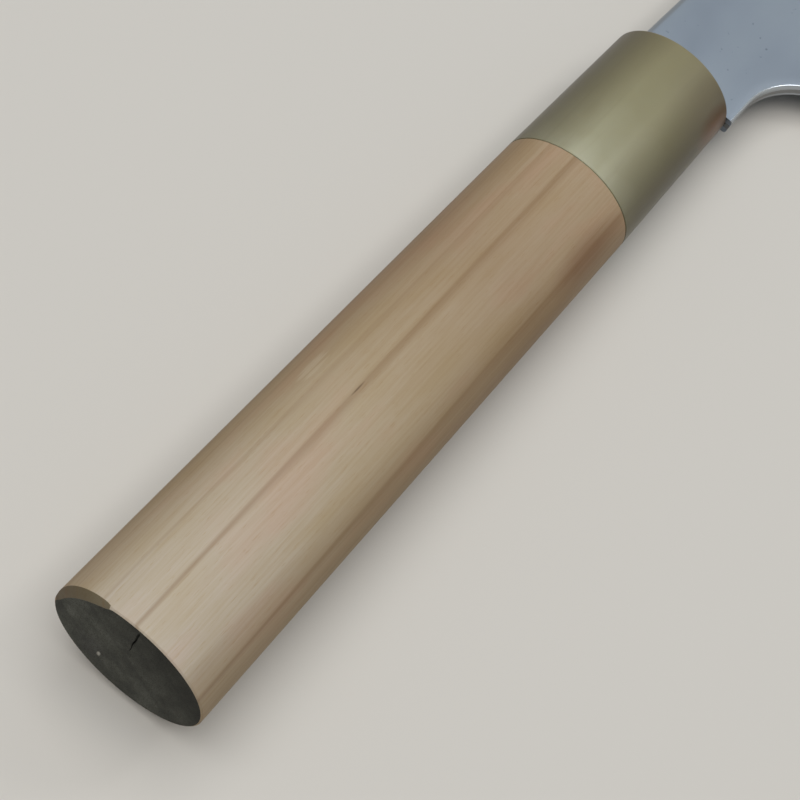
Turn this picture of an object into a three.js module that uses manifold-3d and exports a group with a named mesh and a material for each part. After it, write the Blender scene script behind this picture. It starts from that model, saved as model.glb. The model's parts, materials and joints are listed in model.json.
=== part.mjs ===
import * as THREE from 'three';
import { ConvexHull } from 'three/addons/math/ConvexHull.js';
import { mergeVertices } from 'three/addons/utils/BufferGeometryUtils.js';
import Module from 'manifold-3d';

// A gyuto, the long Japanese kitchen knife, with an oval wooden handle and a horn ferrule.
// Each piece is drawn along the knife's own axes, in millimetres: +X from the butt towards the tip,
// +Y from the edge towards the spine, +Z out of the right face. The zero point is on the handle's axis,
// at the ferrule's front face. The whole knife is then laid down on its left side, as it rests on a table.
// Heights run from edge side to spine side, thicknesses from left face to right face.

// Oval handle: wood behind, horn ferrule in front
const woodLength = 108;
const ferruleLength = 34;
const buttHeight = 25.6;
const buttThickness = 20.4;
const jointHeight = 24.1;
const jointThickness = 18.7;
const mouthHeight = 23;
const mouthThickness = 17.2;
const mouthRounding = 0.6;
const ferruleFrontWall = 6;
const ovalSides = 64;

// The butt's edge is broken all round, and bevelled wider between its spine and its right face
const buttEdgeBreak = 0.25;
const buttBevelWidth = 1.5;
const buttBevelDepth = 1;
const buttBevelMiddle = THREE.MathUtils.degToRad(25);
const buttBevelHalfAngle = THREE.MathUtils.degToRad(38);

// Blade outline, from the neck at the ferrule to the tip
const bladeLength = 240;
const heelHeight = 49;
const neckTop = 9;
const neckBottom = -12.4;
const choilStart = 6.2;
const choilRadius = 15.2;
const spineFall = 5;
const noseLength = 95;
const tipDrop = 17.5;
const edgeFlat = 120;
const edgeBelly = 1.2;
const edgeSweep = 46;
const edgeSweepDrop = 29;
const curveSteps = 28;

// Blade thickness: full at the neck, thinner towards the tip and the edge, with a convex grind
const neckThickness = 3.2;
const heelThickness = 3;
const tipThickness = 1.1;
const faceTaper = 0.012;
const edgeThickness = 0.12;
const grindHeight = 30;
const grindThickness = 2.6;
const grindConvexity = 0.35;
const grindSteps = 6;

// Laminated steel: a hard core between two claddings, thinned with the blade
const coreThickness = 1;
const coreTipThickness = 0.4;
const coreTangThickness = 0.7;
const weldLine = 0.05;

// Hidden tang and the pieces that hold it in the handle
const tangLength = 95;
const tangHeight = 9.5;
const tangThickness = 3;
const tangEndHeight = 5.5;
const tangEndThickness = 1.8;
const beddingRoom = 0.8;
const slotEndRoom = 4;
const dowelWall = 1;
const dowelInWood = 22;
const sealRecess = 0.3;

// Clearances
const glueLine = 0.2;
const shoulderGap = 0.3;

// How far a cutting solid reaches past what it cuts
const cutMargin = 3;

// Densities in grams per cubic millimetre, for the balance point
const steelDensity = 0.00785;
const hornDensity = 0.0012;
const woodDensity = 0.0007;
const resinDensity = 0.0011;

const handleLength = woodLength + ferruleLength;
const jointX = -ferruleLength;
const buttX = -handleLength;
const heelX = choilStart + choilRadius;
const tipX = heelX + bladeLength;
const tipY = neckTop - tipDrop;
const noseX = tipX - noseLength;
const noseY = neckTop - spineFall;
const slotHeight = tangHeight + 2 * beddingRoom;
const slotThickness = tangThickness + 2 * beddingRoom;
const dowelDiameter = Math.hypot(slotHeight, slotThickness) + 2 * dowelWall;
const socketFront = -ferruleFrontWall;
const slotEnd = -tangLength - slotEndRoom;

const horn = new THREE.MeshStandardMaterial({ color: 0xc8b98c, roughness: 0.35, metalness: 0 });
const magnolia = new THREE.MeshStandardMaterial({ color: 0xbcaa8c, roughness: 0.65, metalness: 0 });
const cedar = new THREE.MeshStandardMaterial({ color: 0x9c7b55, roughness: 0.75, metalness: 0 });
const coreSteel = new THREE.MeshStandardMaterial({ color: 0x8d9296, roughness: 0.25, metalness: 1 });
const softSteel = new THREE.MeshStandardMaterial({ color: 0xa9b0b6, roughness: 0.35, metalness: 1 });
const resin = new THREE.MeshStandardMaterial({ color: 0x5a3d22, roughness: 0.5, metalness: 0 });
const wax = new THREE.MeshStandardMaterial({ color: 0xd9c48a, roughness: 0.45, metalness: 0 });

const wasm = await Module();
wasm.setup();

function solidOf(geometry) {
  const bare = geometry.clone();
  bare.deleteAttribute('normal');
  bare.deleteAttribute('uv');
  const merged = mergeVertices(bare);
  return new wasm.Manifold(new wasm.Mesh({
    numProp: 3,
    vertProperties: new Float32Array(merged.attributes.position.array),
    triVerts: new Uint32Array(merged.index.array),
  }));
}

function geometryOf(solid) {
  const { vertProperties, triVerts } = solid.getMesh();
  const geometry = new THREE.BufferGeometry();
  geometry.setAttribute('position', new THREE.BufferAttribute(new Float32Array(vertProperties), 3));
  geometry.setIndex(new THREE.BufferAttribute(new Uint32Array(triVerts), 1));
  geometry.computeVertexNormals();
  return geometry;
}

// A closed solid through rings of points. The rings follow each other towards +X, have equal counts and
// turn from +Y to +Z. Each end is closed by a flat convex cap.
function loft(rings) {
  const sides = rings[0].length;
  const triangles = [];
  for (let i = 0; i + 1 < rings.length; i += 1) {
    for (let j = 0; j < sides; j += 1) {
      const near = i * sides + j;
      const nearNext = i * sides + (j + 1) % sides;
      triangles.push(near, nearNext, nearNext + sides);
      triangles.push(near, nearNext + sides, near + sides);
    }
  }
  const last = (rings.length - 1) * sides;
  for (let j = 1; j + 1 < sides; j += 1) {
    triangles.push(0, j + 1, j);
    triangles.push(last, last + j, last + j + 1);
  }
  const geometry = new THREE.BufferGeometry().setFromPoints(rings.flat());
  geometry.setIndex(triangles);
  return solidOf(geometry);
}

function ovalRing(x, height, thickness) {
  return Array.from({ length: ovalSides }, (_, i) => {
    const angle = 2 * Math.PI * i / ovalSides;
    return new THREE.Vector3(x, height / 2 * Math.cos(angle), thickness / 2 * Math.sin(angle));
  });
}

function boxRing(x, yLow, yHigh, zLow, zHigh) {
  return [
    new THREE.Vector3(x, yHigh, zLow),
    new THREE.Vector3(x, yHigh, zHigh),
    new THREE.Vector3(x, yLow, zHigh),
    new THREE.Vector3(x, yLow, zLow),
  ];
}

function middleRing(x, height, thickness) {
  return boxRing(x, -height / 2, height / 2, -thickness / 2, thickness / 2);
}

// The straight slot for the tang, through the ferrule's front, the dowel and into the wood
function tangSlot(fromX, toX, shrink) {
  const height = slotHeight - 2 * shrink;
  const thickness = slotThickness - 2 * shrink;
  return loft([middleRing(fromX, height, thickness), middleRing(toX, height, thickness)]);
}

function tang(grow) {
  return loft([
    middleRing(-tangLength - grow, tangEndHeight + 2 * grow, tangEndThickness + 2 * grow),
    middleRing(shoulderGap + cutMargin, tangHeight + 2 * grow, tangThickness + 2 * grow),
  ]);
}

function dowelRod(fromX, toX, diameter) {
  return loft([ovalRing(fromX, diameter, diameter), ovalRing(toX, diameter, diameter)]);
}

function dowelSocket(fromX, toX) {
  return dowelRod(fromX, toX, dowelDiameter + 2 * glueLine);
}

// How much of the wider bevel is left at an angle from the spine: 1 at its middle, 0 past its ends
function buttBevelShare(angle) {
  const end = Math.cos(buttBevelHalfAngle);
  return Math.max(0, (Math.cos(angle - buttBevelMiddle) - end) / (1 - end));
}

function handleBody() {
  const face = [];
  const rim = [];
  for (let i = 0; i < ovalSides; i += 1) {
    const angle = 2 * Math.PI * i / ovalSides;
    const share = buttBevelShare(angle);
    const inset = buttEdgeBreak + buttBevelWidth * share;
    const depth = buttEdgeBreak + buttBevelDepth * Math.sqrt(share);
    const across = Math.cos(angle);
    const out = Math.sin(angle);
    face.push(new THREE.Vector3(buttX, (buttHeight / 2 - inset) * across, (buttThickness / 2 - inset) * out));
    rim.push(new THREE.Vector3(buttX + depth, buttHeight / 2 * across, buttThickness / 2 * out));
  }
  return loft([face, rim, ovalRing(jointX, jointHeight, jointThickness)])
    .subtract(dowelSocket(jointX - dowelInWood, jointX + cutMargin))
    .subtract(tangSlot(slotEnd, jointX + cutMargin, 0));
}

function ferrule() {
  const rings = [ovalRing(jointX + glueLine, jointHeight, jointThickness)];
  const roundingSteps = 3;
  for (let i = 0; i <= roundingSteps; i += 1) {
    const turn = Math.PI / 2 * i / roundingSteps;
    const inset = 2 * mouthRounding * (1 - Math.cos(turn));
    const x = -mouthRounding * (1 - Math.sin(turn));
    rings.push(ovalRing(x, mouthHeight - inset, mouthThickness - inset));
  }
  return loft(rings)
    .subtract(dowelSocket(jointX - cutMargin, socketFront))
    .subtract(tangSlot(socketFront - cutMargin, cutMargin, 0));
}

function jointDowel() {
  const back = jointX - dowelInWood + glueLine;
  const front = socketFront - glueLine;
  return dowelRod(back, front, dowelDiameter)
    .subtract(tangSlot(back - cutMargin, front + cutMargin, 0));
}

function tangBedding() {
  return tangSlot(slotEnd + glueLine, socketFront - glueLine, glueLine).subtract(tang(glueLine));
}

function mouthSeal() {
  return tangSlot(socketFront, -sealRecess, glueLine).subtract(tang(glueLine));
}

// Side outline of neck and blade: straight spine, curved nose, swept edge, upright heel, round choil
function bladeOutline(edge) {
  const choilCentre = neckBottom - choilRadius;
  const outline = new THREE.Shape();
  outline.moveTo(shoulderGap, neckTop);
  outline.lineTo(shoulderGap, neckBottom);
  outline.lineTo(choilStart, neckBottom);
  outline.absarc(choilStart, choilCentre, choilRadius, Math.PI / 2, 0, true);
  outline.lineTo(edge.v0.x, edge.v0.y);
  outline.bezierCurveTo(edge.v1.x, edge.v1.y, edge.v2.x, edge.v2.y, tipX, tipY);
  outline.quadraticCurveTo(noseX + noseLength / 2, noseY, noseX, noseY);
  outline.closePath();
  return outline;
}

function edgeCurve() {
  const heelY = neckTop - heelHeight;
  return new THREE.CubicBezierCurve(
    new THREE.Vector2(heelX, heelY),
    new THREE.Vector2(heelX + edgeFlat, heelY - edgeBelly),
    new THREE.Vector2(tipX - edgeSweep, tipY - edgeSweepDrop),
    new THREE.Vector2(tipX, tipY),
  );
}

function outlinePrism(edge) {
  const geometry = new THREE.ExtrudeGeometry(bladeOutline(edge), {
    depth: 2 * neckThickness,
    bevelEnabled: false,
    curveSegments: curveSteps,
  });
  geometry.translate(0, 0, -neckThickness);
  return solidOf(geometry);
}

// Flat faces that draw together towards the tip and towards the edge
function faceWedge() {
  const top = neckTop + cutMargin;
  const bottom = neckTop - heelHeight - edgeBelly - cutMargin;
  const ring = (x, spineThickness, taper) => {
    const halfTop = (spineThickness + taper * (top - neckTop)) / 2;
    const halfBottom = (spineThickness + taper * (bottom - neckTop)) / 2;
    return [
      new THREE.Vector3(x, top, -halfTop),
      new THREE.Vector3(x, top, halfTop),
      new THREE.Vector3(x, bottom, halfBottom),
      new THREE.Vector3(x, bottom, -halfBottom),
    ];
  };
  return loft([
    ring(shoulderGap - cutMargin, neckThickness, 0),
    ring(choilStart, neckThickness, 0),
    ring(heelX, heelThickness, faceTaper),
    ring(tipX + cutMargin, tipThickness, faceTaper),
  ]);
}

// Convex grind that follows the edge. It starts at the heel and leaves the neck at its full thickness.
function convexGrind(edge) {
  const halfAt = (rise) => {
    const share = rise / grindHeight;
    const swell = share * (1 + grindConvexity * (1 - share));
    return (edgeThickness + grindThickness * swell) / 2;
  };
  const endSlope = grindThickness * (1 - grindConvexity) / grindHeight / 2;
  const profile = [[-cutMargin, edgeThickness / 2]];
  for (let i = 0; i <= grindSteps; i += 1) {
    const rise = grindHeight * i / grindSteps;
    profile.push([rise, halfAt(rise)]);
  }
  profile.push([grindHeight + heelHeight, halfAt(grindHeight) + endSlope * heelHeight]);
  const ring = (x, edgeY, halfOf) => {
    const right = profile.map(([rise, half]) => new THREE.Vector3(x, edgeY + rise, halfOf(half)));
    const left = profile.map(([rise, half]) => new THREE.Vector3(x, edgeY + rise, -halfOf(half)));
    return [...right.reverse(), ...left];
  };
  const full = () => neckThickness;
  const ground = (half) => half;
  const stations = edge.getPoints(curveSteps);
  const beyondTip = tipX + cutMargin;
  return loft([
    ring(shoulderGap - cutMargin, stations[0].y, full),
    ring(choilStart, stations[0].y, full),
    ...stations.map((point) => ring(point.x, point.y, ground)),
    ring(beyondTip, tipY + edgeSweepDrop / edgeSweep * cutMargin, ground),
  ]);
}

function bladeSteel() {
  const edge = edgeCurve();
  return outlinePrism(edge).intersect(faceWedge()).intersect(convexGrind(edge)).add(tang(0));
}

// The room of one layer of the laminated steel, taller than the blade: low and high give the faces of the
// layer for the core's thickness there
function layerRoom(low, high) {
  const ring = (x, core) => boxRing(x, -2 * heelHeight, 2 * heelHeight, low(core), high(core));
  return loft([
    ring(-tangLength - cutMargin, coreTangThickness),
    ring(shoulderGap, coreThickness),
    ring(tipX + cutMargin, coreTipThickness),
  ]);
}

function coreRoom() {
  return layerRoom((core) => -core / 2, (core) => core / 2);
}

function rightRoom() {
  return layerRoom((core) => core / 2 + weldLine, () => neckThickness);
}

function leftRoom() {
  return layerRoom(() => -neckThickness, (core) => -core / 2 - weldLine);
}

const pieces = [];

function addPiece(name, solid, material, density) {
  const mesh = new THREE.Mesh(geometryOf(solid), material);
  mesh.name = name;
  pieces.push({ mesh, density });
}

const steel = bladeSteel();
addPiece('blade_core', steel.intersect(coreRoom()), coreSteel, steelDensity);
addPiece('cladding_right', steel.intersect(rightRoom()), softSteel, steelDensity);
addPiece('cladding_left', steel.intersect(leftRoom()), softSteel, steelDensity);
addPiece('ferrule', ferrule(), horn, hornDensity);
addPiece('handle_body', handleBody(), magnolia, woodDensity);
addPiece('joint_dowel', jointDowel(), cedar, woodDensity);
addPiece('tang_bedding', tangBedding(), resin, resinDensity);
addPiece('mouth_seal', mouthSeal(), wax, resinDensity);

function trianglesOf(mesh) {
  const { index, attributes } = mesh.geometry;
  const corner = (i) => new THREE.Vector3().fromBufferAttribute(attributes.position, index.getX(i));
  const triangles = [];
  for (let i = 0; i < index.count; i += 3) {
    triangles.push([corner(i), corner(i + 1), corner(i + 2)]);
  }
  return triangles;
}

// Each triangle spans a tetrahedron with the zero point, and these add up to the solid
function balancePoint() {
  const moment = new THREE.Vector3();
  let mass = 0;
  for (const { mesh, density } of pieces) {
    for (const [a, b, c] of trianglesOf(mesh)) {
      const share = density * a.dot(b.clone().cross(c)) / 6;
      mass += share;
      moment.addScaledVector(a.clone().add(b).add(c), share / 4);
    }
  }
  return moment.divideScalar(mass);
}

// The plane that the knife lies on with its left side down: the facet of its convex hull that the balance
// point stands over
function tableNormal() {
  const corners = pieces.flatMap(({ mesh }) => trianglesOf(mesh).flat());
  const hull = new ConvexHull().setFromPoints(corners);
  const balance = balancePoint();
  const standsOver = (face) => {
    let edge = face.edge;
    do {
      const along = edge.head().point.clone().sub(edge.tail().point);
      const toBalance = balance.clone().sub(edge.tail().point);
      if (along.cross(toBalance).dot(face.normal) < 0) {
        return false;
      }
      edge = edge.next;
    } while (edge !== face.edge);
    return true;
  };
  return hull.faces.find((face) => face.normal.z < 0 && standsOver(face)).normal;
}

const knife = new THREE.Group();
knife.add(...pieces.map(({ mesh }) => mesh));
knife.quaternion.setFromUnitVectors(tableNormal(), new THREE.Vector3(0, 0, -1));
knife.updateMatrixWorld(true);
const extent = new THREE.Box3().setFromObject(knife, true);
const middle = extent.getCenter(new THREE.Vector3());
knife.position.set(-middle.x, -middle.y, -extent.min.z);

const model = new THREE.Group();
model.add(knife);

export default model;
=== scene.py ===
import bmesh
import bpy
import json
import math
from mathutils import Matrix, Vector


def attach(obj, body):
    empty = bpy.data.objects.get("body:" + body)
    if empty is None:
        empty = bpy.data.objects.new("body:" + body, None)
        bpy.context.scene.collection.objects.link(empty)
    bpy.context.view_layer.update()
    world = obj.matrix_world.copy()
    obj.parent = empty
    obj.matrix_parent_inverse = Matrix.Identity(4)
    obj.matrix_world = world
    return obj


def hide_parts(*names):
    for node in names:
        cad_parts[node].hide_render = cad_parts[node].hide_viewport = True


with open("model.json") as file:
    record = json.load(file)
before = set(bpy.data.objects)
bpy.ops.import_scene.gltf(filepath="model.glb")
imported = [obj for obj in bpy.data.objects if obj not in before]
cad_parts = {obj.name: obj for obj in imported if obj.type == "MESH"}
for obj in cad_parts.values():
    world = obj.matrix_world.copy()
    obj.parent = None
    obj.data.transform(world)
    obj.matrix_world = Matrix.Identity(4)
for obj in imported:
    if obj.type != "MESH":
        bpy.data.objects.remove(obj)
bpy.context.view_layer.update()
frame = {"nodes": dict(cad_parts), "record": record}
mm = 0.001
print("stage: frame loaded,", len(frame["nodes"]), "nodes")

# The knife's own axes, in millimetres from the middle of the ferrule's front face:
# x to the tip, y to the spine, z out of the right face.
handle = {
    "length": 142.0,       # butt to ferrule front
    "ferrule": 34.0,
    "butt": (25.6, 20.4),  # height, thickness
    "joint": (24.1, 18.7),
    "mouth": (23.0, 17.2),
    "sides": 128,
    "socket": 13.9,        # diameter of the dowel's hole
    "socketSides": 64,
    "slot": (11.1, 4.6),   # room for the tang: height, thickness
}


def readKnifeFrame():  # where the knife lies, from its butt and the two flats of the blade
    mounts = {mount["name"]: mount for mount in frame["record"]["mounts"]}
    tipward = -Vector(mounts["butt_end"]["axis"]).normalized()
    facing = Vector(mounts["blade_right_face"]["axis"]) - Vector(mounts["blade_left_face"]["axis"])
    outward = (facing - facing.dot(tipward) * tipward).normalized()
    spineward = outward.cross(tipward)
    mouth = Vector(mounts["butt_end"]["pos_m"]) + tipward * handle["length"] * mm
    turn = Matrix((tipward, spineward, outward)).transposed()
    return Matrix.Translation(mouth) @ turn.to_4x4()


knifeFrame = readKnifeFrame()


# Modelling helpers

def clearSelection():
    if bpy.context.mode != "OBJECT":
        bpy.ops.object.mode_set(mode="OBJECT")
    bpy.ops.object.select_all(action="DESELECT")


def choose(piece):  # the one that the next operators work on
    clearSelection()
    piece.select_set(True)
    bpy.context.view_layer.objects.active = piece


def nameNew(name, size=(1, 1, 1)):  # the primitive just added, with its size and place put into its mesh
    piece = bpy.context.active_object
    piece.name = name
    piece.data.name = name
    piece.scale = size
    bpy.ops.object.transform_apply(location=True, rotation=True, scale=True)
    return piece


def pick(kind, test):  # selects the vertices, edges or faces whose corners all pass, by their place in mm
    bpy.ops.mesh.select_mode(type=kind)
    bpy.ops.mesh.select_all(action="DESELECT")
    shape = bmesh.from_edit_mesh(bpy.context.edit_object.data)
    items = {"VERT": shape.verts, "EDGE": shape.edges, "FACE": shape.faces}[kind]
    for item in items:
        corners = [item] if kind == "VERT" else item.verts
        if all(test(corner.co / mm) for corner in corners):
            item.select_set(True)
    shape.select_flush_mode()
    bmesh.update_edit_mesh(bpy.context.edit_object.data)


def near(a, b, reach=0.004):
    return abs(a - b) < reach


def growRing(step, ratios, pivot):  # pulls the selected ring on by a step and scales it, all in mm
    bpy.ops.mesh.extrude_edges_move(TRANSFORM_OT_translate={"value": Vector(step) * mm})
    bpy.ops.transform.resize(value=(1, ratios[0], ratios[1]), center_override=Vector(pivot) * mm)


def fillRing(x):  # closes the flat ring that stands at x
    pick("EDGE", lambda p: near(p.x, x))
    bpy.ops.mesh.edge_face_add()


def addOval(name, x, size):  # a ring across the handle's axis, left in edit mode
    clearSelection()
    bpy.ops.mesh.primitive_circle_add(
        vertices=handle["sides"], radius=0.5, fill_type="NOTHING", location=(x * mm, 0, 0),
        rotation=(0, math.pi / 2, 0))
    piece = nameNew(name, (size[1] * mm, size[0] * mm, 1))
    bpy.ops.object.mode_set(mode="EDIT")
    bpy.ops.mesh.select_mode(type="EDGE")
    bpy.ops.mesh.select_all(action="SELECT")
    return piece


def growOvals(x, size, steps):  # on from an oval at x, one ring for each (x, size)
    for nextX, nextSize in steps:
        ratios = (nextSize[0] / size[0], nextSize[1] / size[1])
        growRing((nextX - x, 0, 0), ratios, (nextX, 0, 0))
        x, size = nextX, nextSize


def closeShape():  # merges doubles, turns faces outwards and leaves edit mode
    bpy.ops.mesh.select_all(action="SELECT")
    bpy.ops.mesh.remove_doubles(threshold=0.002 * mm)
    bpy.ops.mesh.normals_make_consistent(inside=False)
    bpy.ops.object.mode_set(mode="OBJECT")


def cleanShape(piece):  # the same for a piece that isn't in edit mode
    choose(piece)
    bpy.ops.object.mode_set(mode="EDIT")
    closeShape()


def cutWith(piece, cutter, operation):  # cuts or keeps by another shape, which is then removed
    choose(piece)
    cut = piece.modifiers.new("cut", "BOOLEAN")
    cut.operation = operation
    cut.solver = "EXACT"
    cut.object = cutter
    bpy.ops.object.modifier_apply(modifier=cut.name)
    bpy.data.objects.remove(cutter)


def easeEdges(piece, width, angle, steps):  # a small bevel on the sharp edges, width in mm
    choose(piece)
    ease = piece.modifiers.new("ease", "BEVEL")
    ease.width = width * mm
    ease.segments = steps
    ease.limit_method = "ANGLE"
    ease.angle_limit = math.radians(angle)
    bpy.ops.object.modifier_apply(modifier=ease.name)
    cleanShape(piece)


def smoothFaces(piece, angle):  # edges that turn more than that stay sharp
    choose(piece)
    bpy.ops.object.shade_smooth_by_angle(angle=math.radians(angle))


def layDown(piece):  # from the knife's own axes to where it lies, with its place in its mesh
    choose(piece)
    piece.matrix_world = knifeFrame
    bpy.ops.object.transform_apply(location=True, rotation=True, scale=True)


def settle(piece, node):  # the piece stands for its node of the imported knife
    layDown(piece)
    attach(piece, "root")
    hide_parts(node)
    print("stage:", piece.name, "in place,", len(piece.data.polygons), "faces")


# Handle: magnolia wood, oval, with a hand-cut bevel on the spine side of its butt

wood = {
    "edgeBreak": 0.25,       # all round the butt
    "bevelWidth": 1.05,      # at its middle, inwards
    "bevelDepth": 0.66,      # at its middle, along the handle
    "bevelMiddle": 31.0,     # degrees from the spine towards the right face
    "bevelHalfAngle": 34.0,  # from its middle to where it runs out
    "jointBreak": 0.08,      # at the ferrule
    "crack": (2.5, 9.2, 0.7),  # in the butt: from, to, depth
    "crackBends": (0.4, 0.28, 0.42, 0.24, 0.3, 0.2),
    "crackWidths": (0.14, 0.3, 0.5, 0.64, 0.7, 0.6),
    "crackClosing": 0.1,     # share of its width left at the bottom
    "crackRoom": 0.9,        # from the axis, all its bends lie within this
    "socketDepth": 22.0,
    "slotEnd": 99.0,         # from the ferrule's front
    "softened": (0.09, 20, 2),  # sharp edges: width, from how many degrees, steps
    "smoothAngle": 28,
}


def drillSocket(piece, x, depth):  # the dowel's hole, from x both ways
    clearSelection()
    bpy.ops.mesh.primitive_cylinder_add(
        vertices=handle["socketSides"], radius=handle["socket"] / 2 * mm, depth=2 * depth * mm,
        location=(x * mm, 0, 0), rotation=(0, math.pi / 2, 0))
    cutWith(piece, nameNew("socket"), "DIFFERENCE")


def sawSlot(piece, start, end):  # room for the tang, along the handle's axis
    clearSelection()
    height, thickness = handle["slot"]
    bpy.ops.mesh.primitive_cube_add(size=1, location=((start + end) / 2 * mm, 0, 0))
    slot = nameNew("slot", ((end - start) * mm, height * mm, thickness * mm))
    cutWith(piece, slot, "DIFFERENCE")


def makeWood():
    butt = -handle["length"]
    joint = -handle["ferrule"]
    rim = butt + wood["edgeBreak"]
    inset = 2 * wood["edgeBreak"]
    face = (handle["butt"][0] - inset, handle["butt"][1] - inset)
    jointInset = 2 * wood["jointBreak"]
    jointFace = (handle["joint"][0] - jointInset, handle["joint"][1] - jointInset)
    piece = addOval("handle_wood", butt, face)
    growOvals(butt, face, [
        (rim, handle["butt"]),
        (joint - wood["jointBreak"], handle["joint"]),
        (joint, jointFace),
    ])
    end = math.cos(math.radians(wood["bevelHalfAngle"]))
    halfHeight, halfThickness = handle["butt"][0] / 2, handle["butt"][1] / 2
    for step in range(handle["sides"]):  # the bevel, cut point by point round the rim
        angle = 2 * math.pi * step / handle["sides"]
        across, out = math.cos(angle), math.sin(angle)
        share = (math.cos(angle - math.radians(wood["bevelMiddle"])) - end) / (1 - end)
        if share <= 0:
            continue
        outer = (halfHeight * across, halfThickness * out)
        inner = ((halfHeight - wood["edgeBreak"]) * across, (halfThickness - wood["edgeBreak"]) * out)
        pick("VERT", lambda p: near(p.x, rim) and near(p.y, outer[0], 0.02) and near(p.z, outer[1], 0.02))
        cut = math.sqrt(share)
        bpy.ops.transform.translate(value=(wood["bevelDepth"] * cut * mm, 0, 0))
        pick("VERT", lambda p: near(p.x, butt) and near(p.y, inner[0], 0.02) and near(p.z, inner[1], 0.02))
        width = wood["bevelWidth"] * cut * mm
        bpy.ops.transform.translate(value=(0, -width * across, -width * out))
    fillRing(butt)
    fillRing(joint)
    closeShape()
    drillSocket(piece, joint, wood["socketDepth"])
    sawSlot(piece, -wood["slotEnd"], joint + 1)
    easeEdges(piece, *wood["softened"])
    cutCrack(piece, butt)
    smoothFaces(piece, wood["smoothAngle"])
    return piece


def cutCrack(piece, butt):  # a drying crack that opens towards the right face
    inner, outer, depth = wood["crack"]
    steps = len(wood["crackBends"]) - 1
    clearSelection()
    bpy.ops.mesh.primitive_grid_add(
        x_subdivisions=1, y_subdivisions=steps, size=1,
        location=(butt * mm, 0, (inner + outer) / 2 * mm), rotation=(math.pi / 2, 0, 0))
    crack = nameNew("crack", (2 * depth * mm, (outer - inner) * mm, 1))
    bpy.ops.object.mode_set(mode="EDIT")
    bpy.ops.mesh.select_all(action="SELECT")
    bpy.ops.mesh.extrude_region_move(TRANSFORM_OT_translate={"value": (0, mm, 0)})
    for step, (bend, width) in enumerate(zip(wood["crackBends"], wood["crackWidths"])):
        z = inner + (outer - inner) * step / steps
        pick("VERT", lambda p: near(p.z, z) and p.x < butt)  # the mouth is as wide as it shows
        bpy.ops.transform.resize(value=(1, width, 1), center_override=(0, 0, z * mm))
        pick("VERT", lambda p: near(p.z, z) and p.x > butt)  # and closes to nothing inside
        closed = width * wood["crackClosing"]
        bpy.ops.transform.resize(value=(1, closed, 1), center_override=(0, 0, z * mm))
        pick("VERT", lambda p: near(p.z, z))
        bpy.ops.transform.translate(value=(0, (bend - width / 4) * mm, 0))
    closeShape()
    cutWith(piece, crack, "DIFFERENCE")


def isButtFace(p):  # the sawn face and the walls of its crack
    into = p.x + handle["length"]
    inner, outer, depth = wood["crack"]
    inCrack = into < depth + 0.1 and abs(p.y) < wood["crackRoom"] and inner - 0.2 < p.z < outer + 0.1
    return into < 0.02 or inCrack


def isBevelFace(p):
    angle = math.degrees(math.atan2(p.z / handle["butt"][1], p.y / handle["butt"][0]))
    reach = wood["edgeBreak"] + wood["bevelDepth"] + 0.1
    return p.x < reach - handle["length"] and abs(angle - wood["bevelMiddle"]) < wood["bevelHalfAngle"] + 2


# Ferrule: blond horn, bored from behind and slotted in front

horn = {
    "mouthRounding": 0.6,
    "roundingSteps": 6,
    "jointBreak": 0.08,
    "glueLine": 0.13,        # shows as a dark hairline
    "frontWall": 6.0,        # in front of the dowel
    "smoothAngle": 30,
}


def makeFerrule():
    back = -handle["ferrule"] + horn["glueLine"]
    jointInset = 2 * horn["jointBreak"]
    backFace = (handle["joint"][0] - jointInset, handle["joint"][1] - jointInset)
    piece = addOval("horn_ferrule", back, backFace)
    rings = [(back + horn["jointBreak"], handle["joint"])]
    for step in range(horn["roundingSteps"] + 1):
        turn = math.pi / 2 * step / horn["roundingSteps"]
        inset = 2 * horn["mouthRounding"] * (1 - math.cos(turn))
        x = -horn["mouthRounding"] * (1 - math.sin(turn))
        rings.append((x, (handle["mouth"][0] - inset, handle["mouth"][1] - inset)))
    growOvals(back, backFace, rings)
    fillRing(back)
    fillRing(0)
    closeShape()
    drillSocket(piece, -handle["ferrule"], handle["ferrule"] - horn["frontWall"])
    sawSlot(piece, -2 * horn["frontWall"], 2 * horn["frontWall"])
    smoothFaces(piece, horn["smoothAngle"])
    return piece


# Blade: one forged shape, drawn as a wedge section at the heel and pulled to the tip, then back along
# the round choil to the neck and the tang

blade = {
    "heel": (21.4, -40.0),
    "tip": (261.4, -8.5),
    "spineStart": (0.3, 9.0),    # at the ferrule
    "spineFall": 5.0,            # to where the nose starts
    "noseLength": 95.0,
    "edgeFlat": (120.0, -1.2),   # first pull of the edge's curve, from the heel
    "edgeSweep": (-46.0, -29.0),  # last pull, from the tip
    "edgeSteps": 44,
    "edgeCrowding": 1.5,         # the steps shorten towards the tip
    "heelThickness": 3.0,
    "tipThickness": 1.1,
    "behindEdge": 0.24,
    "edge": 0.04,
    "microBevel": 0.6,
    "grindPower": 2.4,
    "wedgeHeight": 30.0,
    "choilStart": 6.2,
    "choilRadius": 15.2,
    "choilSteps": 14,
    "choilEase": 0.45,
    "choilEaseSteps": 4,
    "neckBottom": -12.4,
    "neckThickness": 3.2,
    "spineEase": 1.1,            # height over which the spine's corners are rounded
    "spineRoundness": 0.8,       # 1 would round it to a point
    "lowRows": (1.7, 3.6, 6.2, 9.2),  # heights of the section's points above the edge
    "upperRows": 8,              # between the choil's end and the spine's rounding
    "spineRows": (0.6, 0.3, 0.1, 0),  # below the top, as shares of that height
    "tang": (9.5, 3.0),
    "tangEnd": (5.5, 1.8),
    "tangLength": 95.0,
}
choilEnd = blade["neckBottom"] - blade["choilRadius"]  # height at which the choil meets the heel's back


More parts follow.
